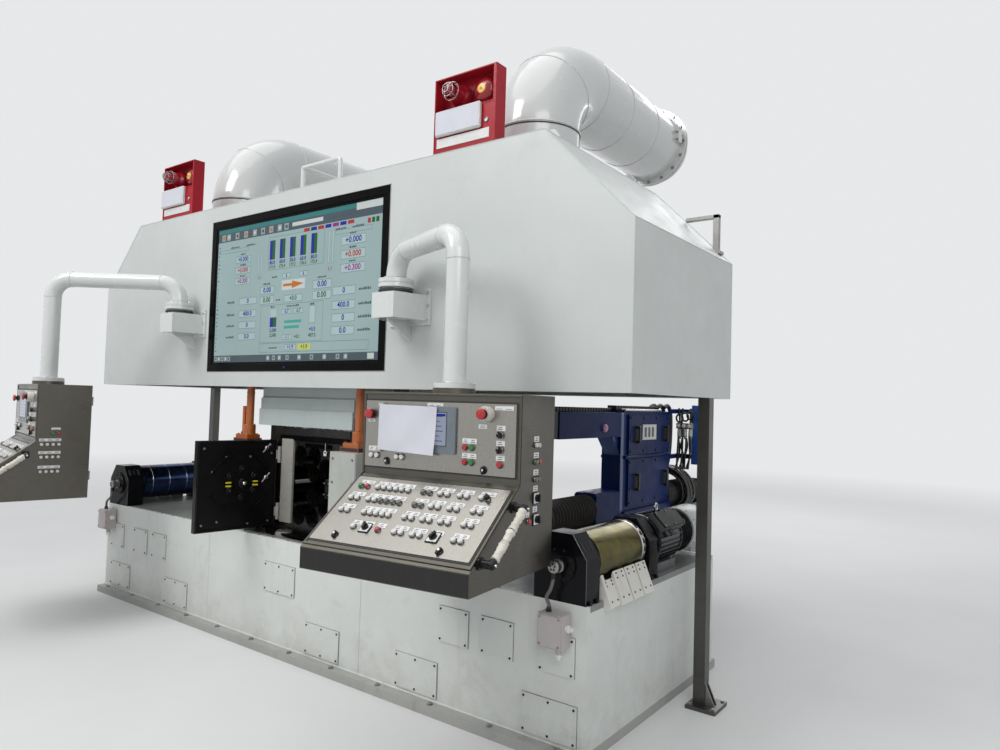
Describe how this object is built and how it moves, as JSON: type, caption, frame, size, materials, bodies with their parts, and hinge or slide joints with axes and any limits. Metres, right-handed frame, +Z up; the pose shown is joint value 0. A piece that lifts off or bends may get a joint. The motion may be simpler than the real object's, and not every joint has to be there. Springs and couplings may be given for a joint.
{
  "type": "rolling mill stand",
  "caption": "Reversing cold rolling mill stand with a clustered roll housing, fume hood, screen and two hanging operator desks.",
  "frame": {"origin": "on the floor, under the middle of the bed's base plate", "axes": "+X along the strip from the entry side to the exit side, +Y from the working side to the drive side, +Z up"},
  "size_m": [4.964, 4.3204, 3.87],
  "materials": {
    "bed_paint": "satin light grey paint, rubbed and dusty",
    "hood_paint": "satin grey-white paint",
    "housing_steel": "machined, oily",
    "roll_steel": "ground and polished",
    "door_black": "worn black paint over steel",
    "post_beige": "satin beige-grey paint",
    "cylinder_orange": "satin orange paint",
    "screen_body": "matt black",
    "screen_glass": "lit screen behind glass",
    "alarm_red": "dark red paint",
    "duct_sheet": "glossy grey paint over welded sheet",
    "arm_paint": "satin grey-white paint",
    "desk_steel": "brushed stainless sheet",
    "handle_wrap": "bar wrapped in white tape",
    "block_black": "satin black",
    "drum_dark": "polished dark roll",
    "barrel_brass": "brass-coloured barrel, mottled",
    "motor_grey": "grey-blue paint",
    "guide_cream": "worn cream paint",
    "gauge_blue": "dark blue paint",
    "bellows_black": "folded sleeve",
    "box_grey": "pinkish grey paint"
  },
  "bodies": {
    "stand": {"bed_base_plate": "bed_paint", "bed_side_plates": "bed_paint", "bed_end_plates": "bed_paint", "bed_deck": "bed_paint", "access_covers": "bed_paint", "mill_housing": "hood_paint", "backing_rolls": "housing_steel", "second_rolls": "roll_steel", "inner_rolls": "roll_steel", "work_rolls": "roll_steel", "housing_rear_cover": "housing_steel", "drive_couplings": "housing_steel", "door_post": "post_beige", "upper_guard": "hood_paint", "lift_cylinders": "cylinder_orange", "hood_columns": "motor_grey", "hood_front": "hood_paint", "hood_rear": "hood_paint", "hood_ends": "hood_paint", "hood_roof": "hood_paint", "hood_posts": "bed_paint", "display": "screen_body", "display_glass": "screen_glass", "alarm_boxes": "alarm_red", "duct_left": "duct_sheet", "duct_right": "duct_sheet", "duct_collars": "duct_sheet", "arm_brackets": "hood_paint", "bearing_blocks": "block_black", "roll_motors": "motor_grey", "strip_guides": "guide_cream", "gauge_stand": "bed_paint", "junction_boxes": "box_grey"},
    "left_arm": {"arm_left": "arm_paint"},
    "right_arm": {"arm_right": "arm_paint"},
    "left_desk": {"desk_left": "desk_steel", "desk_handle_left": "handle_wrap"},
    "right_desk": {"desk_right": "desk_steel", "desk_handle_right": "handle_wrap"},
    "roll_door": {"roll_door": "door_black"},
    "entry_roll": {"entry_roll": "drum_dark"},
    "exit_roll": {"exit_roll": "barrel_brass"},
    "gauge": {"gauge_frame": "gauge_blue", "gauge_bellows_front": "bellows_black", "gauge_bellows_rear": "bellows_black"}
  },
  "joints": [
    {"name": "left_arm_swing", "type": "hinge", "parent": "stand", "child": "left_arm", "pos_m": [-1.075, -0.9, 2.195], "axis": [0, 0, 1], "range_deg": [0, 60]},
    {"name": "right_arm_swing", "type": "hinge", "parent": "stand", "child": "right_arm", "pos_m": [1.075, -0.9, 2.195], "axis": [0, 0, 1], "range_deg": [-80, 0]},
    {"name": "left_desk_swivel", "type": "hinge", "parent": "left_arm", "child": "left_desk", "pos_m": [-1.7453, -1.4624, 1.66], "axis": [0, 0, 1], "range_deg": [-25, 50]},
    {"name": "right_desk_swivel", "type": "hinge", "parent": "right_arm", "child": "right_desk", "pos_m": [1.6952, -1.1257, 1.66], "axis": [0, 0, 1], "range_deg": [-50, 5]},
    {"name": "roll_door_hinge", "type": "hinge", "parent": "stand", "child": "roll_door", "pos_m": [-0.275, -0.596, 1.02], "axis": [0, 0, 1], "range_deg": [-5, 97]},
    {"name": "entry_roll_spin", "type": "hinge", "parent": "stand", "child": "entry_roll", "pos_m": [-2.07, -0.41, 0.87], "axis": [0, 1, 0], "continuous": true},
    {"name": "exit_roll_spin", "type": "hinge", "parent": "stand", "child": "exit_roll", "pos_m": [2.07, -0.41, 0.87], "axis": [0, 1, 0], "continuous": true},
    {"name": "gauge_slide", "type": "slide", "parent": "stand", "child": "gauge", "axis": [0, -1, 0], "range_m": [0, 0.26], "deforming": ["gauge_bellows_front", "gauge_bellows_rear"]}
  ]
}
